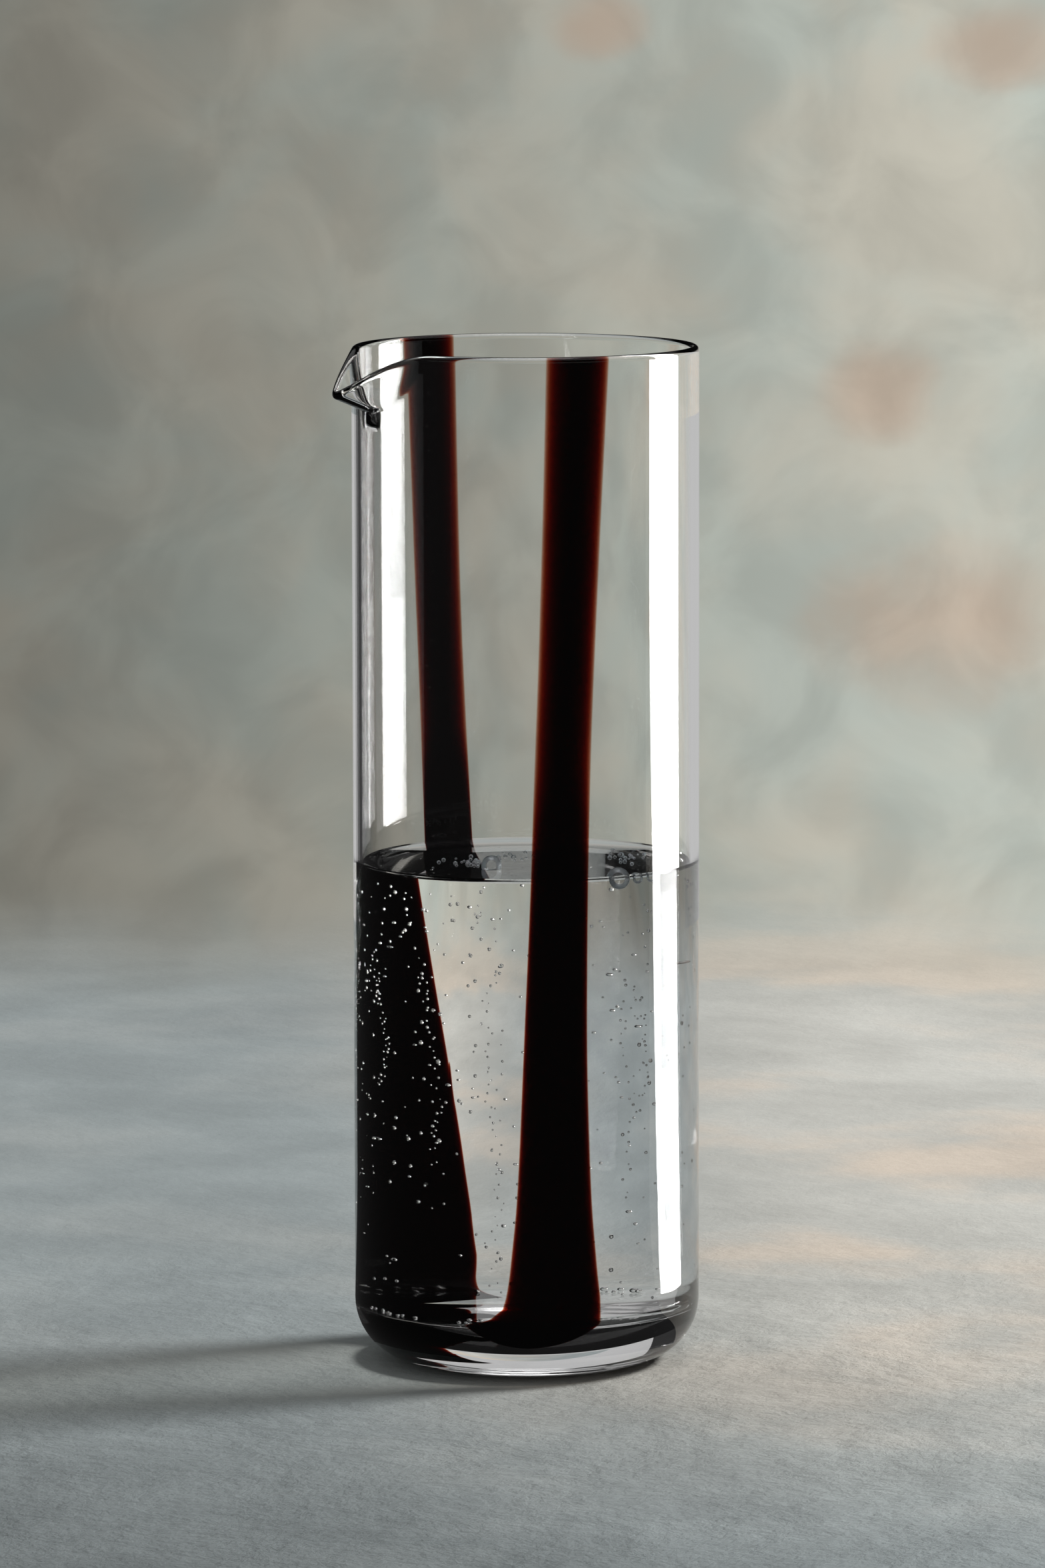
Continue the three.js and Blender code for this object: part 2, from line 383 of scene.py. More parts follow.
def bubble_film():
    """The thin skin of a bubble afloat: clear, and mirroring towards its outline."""
    shading = new_shading("bubble_film")
    slant = shading.node("Fresnel", {"IOR": FILM_INDEX}).outputs[0]
    mirror = shading.node("BsdfGlossy", {"Color": FILM_COLOUR, "Roughness": FILM_ROUGHNESS})
    film = shading.mix(slant, shading.clear(), mirror.outputs[0])
    return shading.finish(let_lamps_through(shading, film, FILM_TINT))


def bubble_air():
    shading = new_shading("bubble_air")
    surface = shading.node("BsdfGlass", {"Roughness": 0, "IOR": AIR / WATER}).outputs[0]
    return shading.finish(let_lamps_through(shading, surface, CLEAR))


# Glass

PLAIN_STEP = math.radians(1.5)
SPOUT_STEP = math.radians(0.4)
SPOUT_SPREAD = math.radians(36)
CORNER_ROWS = 14
FLOOR_ROWS = 8
WALL_ROWS = 44
SPOUT_ROWS = 30
RIM_ROWS = 12
# Rows of the outer face, from its middle outwards, that belong to the base
BASE_ROWS = FLOOR_ROWS + CORNER_ROWS // 2
# Places of the glass body's materials among its slots
DRY, WET, BASE = range(3)


def column_azimuths():
    """Azimuths of the mesh's columns, which are closer together at the spout."""
    beside = round((math.pi - SPOUT_SPREAD) / PLAIN_STEP)
    near = round(SPOUT_SPREAD / SPOUT_STEP)
    plain = np.linspace(0, math.pi - SPOUT_SPREAD, beside, endpoint=False)
    spout = np.linspace(math.pi - SPOUT_SPREAD, math.pi, near, endpoint=False)
    half = np.concatenate([plain, spout])
    return np.concatenate([half, [math.pi], 2 * math.pi - half[:0:-1]])


AZIMUTHS = column_azimuths()


def face_heights(foot):
    """Heights of the wall's rows on one face, with a row at the water's edge."""
    below = np.linspace(foot, CONTACT_HEIGHT, WALL_ROWS // 2, endpoint=False)
    above = np.linspace(CONTACT_HEIGHT, SPOUT_FOOT, WALL_ROWS // 2, endpoint=False)
    spout = np.linspace(SPOUT_FOOT, RIM_BASE, SPOUT_ROWS)
    return np.concatenate([below, above, spout])


def floor_and_corner(radius, level, corner_radius):
    """Rings from the axis along a flat floor and round its corner, up to the wall's foot."""
    flat = radius - corner_radius
    rings = [ring(AZIMUTHS, flat * row / FLOOR_ROWS, level) for row in range(FLOOR_ROWS + 1)]
    for row in range(1, CORNER_ROWS + 1):
        at, height = corner(radius, level, corner_radius, row / CORNER_ROWS * math.pi / 2)
        rings.append(ring(AZIMUTHS, at, height))
    return rings


def inner_rings(top=None):
    """Rings of the inner face from the axis up the wall, as far as a height or to the rim."""
    rings = floor_and_corner(INNER_RADIUS, FLOOR_THICKNESS, INNER_CORNER)
    heights = face_heights(FLOOR_THICKNESS + INNER_CORNER)[1:]
    if top is not None:
        heights = heights[heights <= top + PROBE]
    return rings + [wall_ring(AZIMUTHS, height, -1) for height in heights]


def add_glass(dry, wet, base_glass):
    inner = inner_rings()
    rim = [rim_ring(AZIMUTHS, math.pi * (1 - row / RIM_ROWS)) for row in range(1, RIM_ROWS + 1)]
    heights = face_heights(OUTER_CORNER)[1:-1]
    outer = [wall_ring(AZIMUTHS, height, 1) for height in heights[::-1]]
    base = floor_and_corner(OUTER_RADIUS, 0, OUTER_CORNER)[::-1]
    rings = inner + rim + outer + base
    wet_rows = len(inner_rings(CONTACT_HEIGHT)) - 1
    dry_rows = len(rings) - 1 - wet_rows - BASE_ROWS
    slots = [WET] * wet_rows + [DRY] * dry_rows + [BASE] * BASE_ROWS
    return add_turned_piece("clear_glass_body", rings, slots, [dry, wet, base_glass])


# Bands

BAND_COLUMNS = 24
BAND_FOOT_ROWS = 30
BAND_WALL_ROWS = 90
BAND_TOP_ROWS = 6
# Lengths along a band from where its lower corner starts, positive up the corner: where the
# middles of the feet end, how much further up their edges end, and where the swelling starts
# to fade
FRONT_FOOT_END = 0.0024
BACK_FOOT_END = -0.012
BAND_FOOT_ROUNDING = 0.0084
BAND_FOOT_POWER = 1.6
BAND_FOOT_TAPER = 0.0015
FLARE = math.radians(14.6)
FLARE_START = 0.01075
FLARE_FADE = 0.0018
BAND_CORNER_LENGTH = STRIP_CORNER * math.pi / 2
BAND_WALL_FOOT = STRIP_LEVEL + STRIP_CORNER
BAND_TOP_GAP = 0.0003
BAND_TOP = JUG_HEIGHT - BAND_TOP_GAP
BAND_TOP_TAPER = 0.0008
# Shares of the jug's height, each with the power that shapes the band's cross-section there: a
# high power gives it a flat middle and blunt edges
FRONT_FULLNESS = ((0.07, 7), (0.48, 7), (0.56, 1.7), (1, 1.6))
BACK_FULLNESS = ((0.07, 24), (0.48, 20), (0.56, 1.7), (1, 1.6))


def course(table, share):
    """A station table at a share of the height, with its kinks rounded off."""
    shares, values = zip(*table)
    reach = min(COURSE_ROUNDING, max(0, share - shares[0]), max(0, shares[-1] - share))
    samples = share + np.linspace(-reach, reach, COURSE_SAMPLES)
    return float(np.mean(np.interp(samples, shares, values)))


def band_wall_azimuths(table, height, across):
    share = height / JUG_HEIGHT
    half_angle = BAND_WIDTH * course(WIDTH_COURSE, share) / (2 * OUTER_RADIUS)
    return math.radians(course(table, share)) + across * half_angle


def strip_azimuths(radius, side, across):
    """Azimuths across the strip where it crosses a circle, on the front side or the back."""
    spout_side = np.arcsin(STRIP_SPOUT_SIDE / radius)
    far_side = np.arcsin(STRIP_FAR_SIDE / radius)
    low, high = (-spout_side, far_side) if side == "front" else (-far_side, spout_side)
    middle = STRIP_AZIMUTH if side == "front" else STRIP_AZIMUTH - math.pi
    return middle + lerp(low, high, (across + 1) / 2)


def flare(side, along, across):
    """How far a foot swells sideways, on the side that faces the spout."""
    swell = FLARE * np.exp(-np.maximum(0, along - FLARE_START) / FLARE_FADE)
    return -swell * (1 - across) / 2 if side == "front" else swell * (1 + across) / 2


def band_foot(side, foot_end, foot_power, across):
    """Stations of a band under the floor and round its corner: points, normals, fullness."""
    first = foot_end + BAND_FOOT_ROUNDING * abs(across) ** BAND_FOOT_POWER
    stations = []
    for row in range(BAND_FOOT_ROWS + 1):
        along = lerp(first, BAND_CORNER_LENGTH, row / BAND_FOOT_ROWS)
        turn = np.maximum(0, along) / STRIP_CORNER
        radius, level = corner(MIDDLE_RADIUS, STRIP_LEVEL, STRIP_CORNER, turn)
        radius = radius + np.minimum(0, along)
        azimuths = strip_azimuths(radius, side, across) + flare(side, along, across)
        grown = np.minimum(1, (along - first) / BAND_FOOT_TAPER)
        fullness = np.sqrt(1 - (1 - grown) ** 2) * (1 - abs(across) ** foot_power)
        stations.append((ring(azimuths, radius, level),
                         ring(azimuths, np.sin(turn), -np.cos(turn)), fullness))
    return stations


def band_wall(side, table, fullness_table, across):
    """Stations of a band up the wall, closer together at its top, where it thins out."""
    low_heights = np.linspace(BAND_WALL_FOOT, BAND_TOP - BAND_TOP_TAPER, BAND_WALL_ROWS + 1)[1:]
    high_heights = BAND_TOP - BAND_TOP_TAPER * np.linspace(1, 0, BAND_TOP_ROWS + 1)[1:] ** 2
    stations = []
    for height in np.concatenate([low_heights, high_heights]):
        along = BAND_CORNER_LENGTH + height - BAND_WALL_FOOT
        azimuths = band_wall_azimuths(table, height, across) + flare(side, along, across)
        power = course(fullness_table, height / JUG_HEIGHT)
        top = min(1, math.sqrt(max(0, BAND_TOP - height) / BAND_TOP_TAPER))
        stations.append((wall_middle(azimuths, height), wall_frame(azimuths, height)[0],
                         top * (1 - abs(across) ** power)))
    return stations


def add_band(name, side, table, fullness_table, foot_end, material):
    """A lens of glass between an outer and an inner sheet."""
    across = np.sin(np.linspace(-1, 1, BAND_COLUMNS + 1) * math.pi / 2)
    stations = band_foot(side, foot_end, fullness_table[0][1], across)
    stations += band_wall(side, table, fullness_table, across)
    half = BAND_THICKNESS / 2
    vertices = np.concatenate([at + way * half * normal * full[:, None]
                               for way in (1, -1) for at, normal, full in stations])
    width = len(across)
    offset = len(stations) * width
    faces = []
    for row in range(len(stations) - 1):
        for column in range(width - 1):
            first = row * width + column
            quad = [first, first + 1, first + width + 1, first + width]
            faces.append(quad)
            faces.append([index + offset for index in quad[::-1]])
    piece = add_piece(name, vertices, faces, [material])
    weld(piece)
    return piece


# Water

SURFACE_ROWS = 50
MENISCUS_ROWS = 14
FLATTEST_SLOPE = math.radians(0.6)
WATER_OVERLAP = 0.00005
# Gives the point on the axis, which has no way out, a way to go
TINY = 1e-9
# Places of the water's materials among its slots
SURFACE, SIDE = range(2)


def meniscus_profile():
    """Distance from the glass and height over the flat level, from the flat part to the glass.
    The curve balances weight and surface tension at an upright wall."""
    steepest = 2 * math.asin(MENISCUS_HEIGHT / (2 * CAPILLARY_LENGTH))
    slopes = np.geomspace(FLATTEST_SLOPE, steepest, MENISCUS_ROWS + 1)
    distance = -CAPILLARY_LENGTH * (np.log(np.tan(slopes / 4)) + 2 * np.cos(slopes / 2))
    return distance - distance[-1], 2 * CAPILLARY_LENGTH * np.sin(slopes / 2)


def moved_into_glass(at):
    """A ring of the inner face, a hair further out from the jug's middle and down."""
    way_out = unit(at * [1, 1, 0] - [0, 0, TINY])
    return at + way_out * WATER_OVERLAP - [0, 0, WATER_OVERLAP]


def add_water(surface, side):
    """The water's sides lie a hair inside the glass, so that no two faces coincide."""
    distances, heights = meniscus_profile()
    heights = heights - heights[0] * (distances / distances[0])
    flat = INNER_RADIUS - distances[0]
    top = [ring(AZIMUTHS, flat * row / SURFACE_ROWS, WATER_LEVEL) for row in range(SURFACE_ROWS)]
    top += [ring(AZIMUTHS, INNER_RADIUS - distance, WATER_LEVEL + height)
            for distance, height in zip(distances, heights)]
    down = [moved_into_glass(at) for at in inner_rings(CONTACT_HEIGHT)[::-1]]
    slots = [SURFACE] * (len(top) - 1) + [SIDE] * len(down)
    return add_turned_piece("water", top + down, slots, [surface, side])


# Bubbles

# Azimuths here are in degrees to the right of the camera's side. Radii are drawn between a
# smallest and a largest, and most lie near the third value given.
BUBBLE_FLOOR_GAP = 0.004
BUBBLE_SURFACE_GAP = 0.0015
LOWEST_BUBBLE = FLOOR_THICKNESS + BUBBLE_FLOOR_GAP
HIGHEST_BUBBLE = WATER_LEVEL - BUBBLE_SURFACE_GAP
# Where they cling to the wall: from and to which azimuth, and how many
WALL_BUBBLES = ((-86, -34, 120), (-34, -8, 60), (0, 30, 20), (30, 80, 70))
WALL_BUBBLE_RADII = (0.0002, 0.0007, 0.0003)
WALL_BUBBLE_GAP = 0.0001
# They cling more thickly towards the surface
WALL_BUBBLE_POWER = 0.5
ADRIFT_BUBBLES = 170
ADRIFT_RADII = (0.0002, 0.0006, 0.0003)
ADRIFT_GAP = 0.0003
# Streams: azimuth, sideways swing, lowest and highest point, and how many
BUBBLE_STREAMS = ((-60, 4, 0.079, 0.117, 44), (-35, 3, 0.06, 0.118, 34), (-12, 2, 0.024, 0.112, 44),
                  (36, 2, 0.05, 0.118, 26), (43, 3, 0.077, 0.109, 26))
STREAM_RADII = (0.00016, 0.0005, 0.00026)
STREAM_GAP = 0.0002
# A stream's sideways wave, in radians over its length, and how far its bubbles stray from it
STREAM_WAVE = 5
STREAM_STRAY = 1.2
STREAM_STRAY_HEIGHT = 0.0006
# On the floor: azimuth, how far in from the corner at least and at most, and how many
FLOOR_BUBBLES = ((-60, 0, 0.002, 16), (-20, 0.002, 0.012, 10), (120, 0, 0.004, 12),
                 (160, 0.001, 0.01, 14), (-150, 0, 0.006, 14))
FLOOR_BUBBLE_RADII = (0.0002, 0.0009, 0.0003)
FLOOR_STRAY = 9
RISING_SEED = 4
RISING_FINENESS = 2
# Afloat: how far right and behind, then the radius of one or the spread and number of many
LARGE_FLOATING = ((0.0244, -0.0355, 0.003), (0.029, -0.031, 0.0015), (0.0325, -0.0285, 0.0013),
                  (-0.0095, -0.008, 0.0028), (0.034, -0.0262, 0.0011))
FLOATING_CLUSTERS = ((-0.018, 0.002, 0.004, 26), (-0.003, 0.016, 0.003, 14),
                     (0.028, 0.018, 0.004, 30))
FLOATING_RADII = (0.0002, 0.0009, 0.0004)
FLOATING_MARGIN = 0.002
FLOATING_SEED = 9
FLOATING_FINENESS = 3


def round_jug(aside, depth, height, size):
    """A bubble at an azimuth, with its skin at a depth from the glass."""
    angle = math.radians(aside)
    reach = INNER_RADIUS - size - depth
    return (*on_stage(reach * math.sin(angle), -reach * math.cos(angle), height), size)


def bubble_places():
    """Bubbles under water as (x, y, z, radius): on the wall, adrift, in streams, on the floor."""
    draw = random.Random(RISING_SEED)
    places = []
    for low, high, count in WALL_BUBBLES:
        for _ in range(count):
            size = draw.triangular(*WALL_BUBBLE_RADII)
            height = lerp(LOWEST_BUBBLE, HIGHEST_BUBBLE, draw.random() ** WALL_BUBBLE_POWER)
            places.append(round_jug(draw.uniform(low, high), WALL_BUBBLE_GAP, height, size))
    for _ in range(ADRIFT_BUBBLES):
        size = draw.triangular(*ADRIFT_RADII)
        height = draw.uniform(LOWEST_BUBBLE, HIGHEST_BUBBLE)
        depth = INNER_RADIUS * (1 - math.sqrt(draw.random()))
        places.append(round_jug(draw.uniform(-180, 180), ADRIFT_GAP + depth, height, size))
    for aside, swing, low, high, count in BUBBLE_STREAMS:
        for step in range(count):
            share = step / count
            bend = swing * math.sin(STREAM_WAVE * share) + draw.gauss(0, STREAM_STRAY)
            height = lerp(low, high, share) + draw.gauss(0, STREAM_STRAY_HEIGHT)
            size = draw.triangular(*STREAM_RADII)
            places.append(round_jug(aside + bend, STREAM_GAP, height, size))
    for aside, low, high, count in FLOOR_BUBBLES:
        for _ in range(count):
            size = draw.triangular(*FLOOR_BUBBLE_RADII)
            depth = INNER_CORNER + draw.uniform(low, high)
            strayed = aside + draw.gauss(0, FLOOR_STRAY)
            places.append(round_jug(strayed, depth, FLOOR_THICKNESS + size, size))
    return places


def surface_places():
    """Bubbles afloat as (x, y, z, radius). The middles of the large ones lie a third of their
    radius over the water, and the clusters spread twice as far in depth as sideways."""
    draw = random.Random(FLOATING_SEED)
    places = [(*on_stage(right, away, WATER_LEVEL + size / 3), size)
              for right, away, size in LARGE_FLOATING]
    for right, away, spread, count in FLOATING_CLUSTERS:
        for _ in range(count):
            size = draw.triangular(*FLOATING_RADII)
            at = on_stage(draw.gauss(right, spread), draw.gauss(away, 2 * spread), WATER_LEVEL)
            if at.xy.length < INNER_RADIUS - FLOATING_MARGIN:
                places.append((*at, size))
    return places


def add_bubbles(name, places, material, fineness):
    template = bmesh.new()
    bmesh.ops.create_icosphere(template, subdivisions=fineness, radius=1)
    points = np.array([vertex.co[:] for vertex in template.verts])
    corners = np.array([[vertex.index for vertex in face.verts] for face in template.faces])
    template.free()
    places = np.array(places)
    vertices = places[:, None, :3] + points[None] * places[:, None, 3:]
    faces = corners[None] + len(points) * np.arange(len(places))[:, None, None]
    return add_piece(name, vertices.reshape(-1, 3), faces.reshape(-1, 3).tolist(), [material])


# Painted floor and backdrop

FLOOR_SIZE = 120
FLOOR_GAP = 0.00005
FLOOR_COOL = (0.535, 0.595, 0.6)
FLOOR_NEUTRAL = (0.6, 0.595, 0.55)
FLOOR_WARM = (0.66, 0.58, 0.49)
# Each mottle is a noise: its scale and detail, and for some its distortion and roughness. Each
# step is where it starts and ends, in metres or in the noise's value, and its levels there.
WARM_MOTTLE = (7, 5)
WARM_STEP = (0.45, 0.62, 0, 1)
WARM_AWAY = (-0.25, 0.2, 0.15, 1)
WARM_RIGHT = (-0.1, 0.12, 0.1, 1)
NEUTRAL_RIGHT = (-0.08, 0.1, 0, 1)
NEUTRAL_AWAY = (-0.3, 0.02, 0, 1)
# Painted light: how the floor's colour dims to the left of the jug and in front of it
FLOOR_PAINTED_LIGHT_RIGHT = (-0.1, 0.16, 0.58, 1)
FLOOR_PAINTED_LIGHT_AWAY = (-0.55, 0.05, 0.4, 1)
FLOOR_CLOUDS = (14, 8)
CLOUD_STEP = (0.3, 0.7, 0.9, 1.1)
FLOOR_RELIEF = 0.0035
RELIEF_AWAY = (-0.3, 0.35, 1, 0.25)
RELIEF_GRAIN = (60, 12, 0.1, 0.66)
RELIEF_RIDGES = (20, 10, 0.3, 0.62)
RIDGE_SHARE = 1.8

# The backdrop is a funnel: its foot, its top edge, its rise per metre, its rows and its columns
BACKDROP_FOOT = 0.62
BACKDROP_EDGE = 2.8
BACKDROP_RISE = 0.14
BACKDROP_ROWS = 24
BACKDROP_COLUMNS = 72
BACKDROP_COOL = (0.93, 1.0, 0.9)
BACKDROP_WARM = (1.04, 1.0, 0.85)
BACKDROP_MOTTLE = (11, 4, 0.4)
BACKDROP_STEP = (0.35, 0.65, 0, 1)
# Painted light: how the backdrop's glow dims to the left
BACKDROP_PAINTED_LIGHT_RIGHT = (-0.3, 0.3, 0.147, 0.564)
BACKDROP_CLOUDS = (24, 5, 0.6)
BACKDROP_FADE = (0.02, 0.075, 0, 1)
FADE_MOTTLE = (9, 3)
FADE_RAGGEDNESS = 0.04
# Stains on the backdrop: how far right and up, then half their width and height
BACKDROP_STAINS = ((0.141, 0.141, 0.045, 0.034), (0.122, 0.22, 0.022, 0.02),
                   (0.027, 0.344, 0.02, 0.014), (0.165, 0.337, 0.03, 0.016))
STAIN_COLOUR = (1.02, 0.83, 0.66)
STAIN_SHARE = 0.9
STAIN_MOTTLE = (26, 4)
STAIN_RAGGEDNESS = 1.6
STAIN_STEP = (0.6, 2, 1, 0)
# The ways right and up on the backdrop's painting
PAINTED_RIGHT = (1, 0, 0)
PAINTED_UP = (0, 1, 0)


class Plaster(Shading):
    """Nodes for painted plaster, in the piece's own coordinates or in its painting's."""

    def __init__(self, name, coordinates="Object"):
        super().__init__(bpy.data.materials.new(name))
        self.place = self.node("TexCoord").outputs[coordinates]

    def dot(self, direction):
        """How far along a direction a point lies."""
        along = self.node("VectorMath", {0: self.place, 1: direction}, operation="DOT_PRODUCT")
        return along.outputs["Value"]

    def mottle(self, scale, detail, distortion=0, roughness=0.5):
        return self.node("TexNoise", {
            "Vector": self.place, "Scale": scale, "Detail": detail, "Distortion": distortion,
            "Roughness": roughness}).outputs["Fac"]

    def blend(self, share, first, second):
        """Two colours mixed by a share."""
        colours = {"Factor": share, FIRST_COLOUR: first, SECOND_COLOUR: second}
        return self.node("Mix", colours, data_type="RGBA").outputs[MIXED_COLOUR]

    def dim(self, colour, level):
        return self.node("VectorMath", {0: colour, "Scale": level}, operation="SCALE").outputs[0]

    def stain(self, right, up, wide, high):
        """A blot on the backdrop, 1 in its middle, with a ragged outline."""
        aside = self.math("DIVIDE", self.math("SUBTRACT", self.dot(PAINTED_RIGHT), right), wide)
        above = self.math("DIVIDE", self.math("SUBTRACT", self.dot(PAINTED_UP), up), high)
        square = self.math("ADD", self.math("MULTIPLY", aside, aside),
                           self.math("MULTIPLY", above, above))
        fray = self.math("MULTIPLY", self.mottle(*STAIN_MOTTLE), STAIN_RAGGEDNESS)
        return self.spread(self.math("ADD", square, fray), *STAIN_STEP)


def floor_paint():
    """Plaster with painted light: its colour is lighter to the right of the jug and darker in front
    of it, where the light falls off.
    """
    plaster = Plaster("studio_floor")
    right = plaster.dot(RIGHT)
    away = plaster.dot(AWAY)
    warmth = plaster.math("MULTIPLY", plaster.spread(plaster.mottle(*WARM_MOTTLE), *WARM_STEP),
                          plaster.spread(away, *WARM_AWAY))
    warmth = plaster.math("MULTIPLY", warmth, plaster.spread(right, *WARM_RIGHT))
    neutral = plaster.math("MULTIPLY", plaster.spread(right, *NEUTRAL_RIGHT),
                           plaster.spread(away, *NEUTRAL_AWAY))
    colour = plaster.blend(neutral, FLOOR_COOL, FLOOR_NEUTRAL)
    colour = plaster.blend(warmth, colour, FLOOR_WARM)
    # Painted light, dimmer to the left of the jug and in front of it; the clouds then vary it at
    # random
    level = plaster.math("MULTIPLY", plaster.spread(right, *FLOOR_PAINTED_LIGHT_RIGHT),
                         plaster.spread(away, *FLOOR_PAINTED_LIGHT_AWAY))
    clouds = plaster.spread(plaster.mottle(*FLOOR_CLOUDS), *CLOUD_STEP)
    level = plaster.math("MULTIPLY", level, clouds)
    ridges = plaster.math("MULTIPLY", plaster.mottle(*RELIEF_RIDGES), RIDGE_SHARE)
    relief = plaster.node("Bump", {
        "Strength": plaster.spread(away, *RELIEF_AWAY), "Distance": FLOOR_RELIEF,
        "Height": plaster.math("ADD", plaster.mottle(*RELIEF_GRAIN), ridges)})
    surface = plaster.node("BsdfDiffuse", {"Color": plaster.dim(colour, level),
                                           "Normal": relief.outputs["Normal"]})
    return plaster.finish(surface.outputs[0])


def add_floor():
    half = FLOOR_SIZE / 2
    corners = [(-half, -half, -FLOOR_GAP), (half, -half, -FLOOR_GAP),
               (half, half, -FLOOR_GAP), (-half, half, -FLOOR_GAP)]
    floor = add_piece("studio_floor", corners, [[0, 1, 2, 3]], [floor_paint()], smooth=False)


def backdrop_paint():
    """Glowing paint, seen from inside, directly or through glass but not in a mirror. Its glow is
    painted light, dimmer to the left. At its foot it fades into the floor."""
    plaster = Plaster("studio_backdrop", "UV")
    right = plaster.dot(PAINTED_RIGHT)
    up = plaster.dot(PAINTED_UP)
    tone = plaster.blend(plaster.spread(plaster.mottle(*BACKDROP_MOTTLE), *BACKDROP_STEP),
                         BACKDROP_COOL, BACKDROP_WARM)
    for place in BACKDROP_STAINS:
        stained = plaster.math("MULTIPLY", plaster.stain(*place), STAIN_SHARE)
        tone = plaster.blend(stained, tone, STAIN_COLOUR)
    clouds = plaster.spread(plaster.mottle(*BACKDROP_CLOUDS), *CLOUD_STEP)
    # Painted light, dimmer to the left, varied at random by the clouds
    level = plaster.math("MULTIPLY", plaster.spread(right, *BACKDROP_PAINTED_LIGHT_RIGHT), clouds)
    paint = plaster.node("Emission", {"Color": plaster.dim(tone, level)}).outputs[0]
    backfacing = plaster.node("NewGeometry").outputs["Backfacing"]
    fray = plaster.math("MULTIPLY", plaster.mottle(*FADE_MOTTLE), FADE_RAGGEDNESS)
    faded = plaster.spread(plaster.math("ADD", up, fray), *BACKDROP_FADE)
    shown = plaster.math("MULTIPLY", plaster.math("LESS_THAN", backfacing, HALFWAY), faded)
    mirrored = plaster.node("LightPath").outputs["Glossy Depth"]
    shown = plaster.math("MULTIPLY", shown, plaster.math("LESS_THAN", mirrored, HALFWAY))
    material = plaster.finish(plaster.mix(shown, plaster.clear(), paint))
    material.cycles.emission_sampling = "NONE"
    return material


def hide_from(piece, *rays):
    for ray in rays:
        setattr(piece, f"visible_{ray}", False)


def add_backdrop():
    """A painted funnel round the stage. It is so flat that only level and falling light meets
    it: what bends upwards in the glass sees the dark. It is painted to look upright."""
    azimuths = np.linspace(0, 2 * math.pi, BACKDROP_COLUMNS, endpoint=False)
    reaches = np.linspace(BACKDROP_FOOT, BACKDROP_EDGE, BACKDROP_ROWS + 1)
    vertices = np.concatenate([
        ring(azimuths, reach, (reach - BACKDROP_FOOT) * BACKDROP_RISE) for reach in reaches])

    def index(row, column):
        return row * BACKDROP_COLUMNS + column % BACKDROP_COLUMNS

    faces = [[index(row, column), index(row + 1, column),
              index(row + 1, column + 1), index(row, column + 1)]
             for row in range(BACKDROP_ROWS) for column in range(BACKDROP_COLUMNS)]
    wall = add_piece("studio_backdrop", vertices, faces, [backdrop_paint()])
    distances = CAMERA_DISTANCE + np.hypot(vertices[:, 0], vertices[:, 1])
    nearness = (CAMERA_DISTANCE + BACKDROP_FOOT) / distances
    painted = np.stack([vertices @ np.array(RIGHT) * nearness,
                        CAMERA_HEIGHT - (CAMERA_HEIGHT - vertices[:, 2]) * nearness], axis=-1)
    layer = wall.data.uv_layers.new(name="painted")
    for loop in wall.data.loops:
        layer.uv[loop.index].vector = painted[loop.vertex_index]
    hide_from(wall, "diffuse", "glossy", "shadow", "volume_scatter")


# Cards that only mirrors see: glowing or dark painted reflections, which light nothing

# Bright cards on the floor to the right: how far out, then where they start and end, in degrees
# to the right of the camera's side. The first shows in the near wall, the other behind it.
FRONT_CARD_EDGES = ((0.158, 88, 110.5), (0.2, 89.4, 113.6), (0.32, 91.8, 116.5),
                    (0.59, 92.1, 117.4), (1.1, 91.2, 117.6), (1.8, 89.4, 117.5),
                    (2.9, 88.6, 118), (6, 88.8, 118.1))
INNER_CARD_EDGES = ((0.2, 98, 122), (0.6, 98.5, 125), (6, 98.5, 125.5))
CARD_HEIGHT = 0.0004
CARD_STRENGTH = 19
# A dark card that stands round the jug, but for the right and the back, and a mat inside it:
# painted dark reflections. The mat is painted shade on the floor round the jug, as mirrors see it.
# Arcs are in degrees to the right of the camera's side.
DARK_ARC = (-150, 84)
DARK_STEPS = 40
DARK_REACH = 0.32
DARK_CARD_TOP = 0.272
DARK_MAT_START = 0.045
DARK_MAT_HEIGHT = 0.0003
DARK_STRENGTH = 0.03
# A grey glowing card that stands behind the jug: a painted reflection
BACK_ARC = (130, 230)
BACK_STEPS = 20
BACK_REACH = 0.9
BACK_CARD_TOP = 0.19
BACK_STRENGTH = 0.5
# A round glowing card overhead: painted highlights in the glass, the water and its bubbles
OVERHEAD_HEIGHT = 1.6
OVERHEAD_RADIUS = 0.45
OVERHEAD_STEPS = 12
OVERHEAD_STRENGTH = 3


def card_glow(name, strength, through_glass):
    """A glow that shows where a ray has been mirrored at least once. With through_glass set, it
    shows only before the ray has passed glass, or only after that."""
    shading = new_shading(name)
    path = shading.node("LightPath").outputs
    share = shading.math("GREATER_THAN", path["Glossy Depth"], HALFWAY)
    if through_glass is not None:
        order = "GREATER_THAN" if through_glass else "LESS_THAN"
        passed = shading.math(order, path["Transmission Depth"], HALFWAY)
        share = shading.math("MULTIPLY", share, passed)
    glow = shading.node("Emission", {"Color": CLEAR, "Strength": strength}).outputs[0]
    material = shading.finish(shading.mix(share, shading.clear(), glow))
    material.cycles.emission_sampling = "NONE"
    return material


def add_card(name, points, strength, through_glass=None):
    """A card given as rows of two points."""
    rows = len(points) // 2
    faces = [[2 * row, 2 * row + 1, 2 * row + 3, 2 * row + 2] for row in range(rows - 1)]
    material = card_glow(name, strength, through_glass)
    card = add_piece(name, points, faces, [material], smooth=False)
    hide_from(card, "camera", "diffuse", "shadow", "volume_scatter")


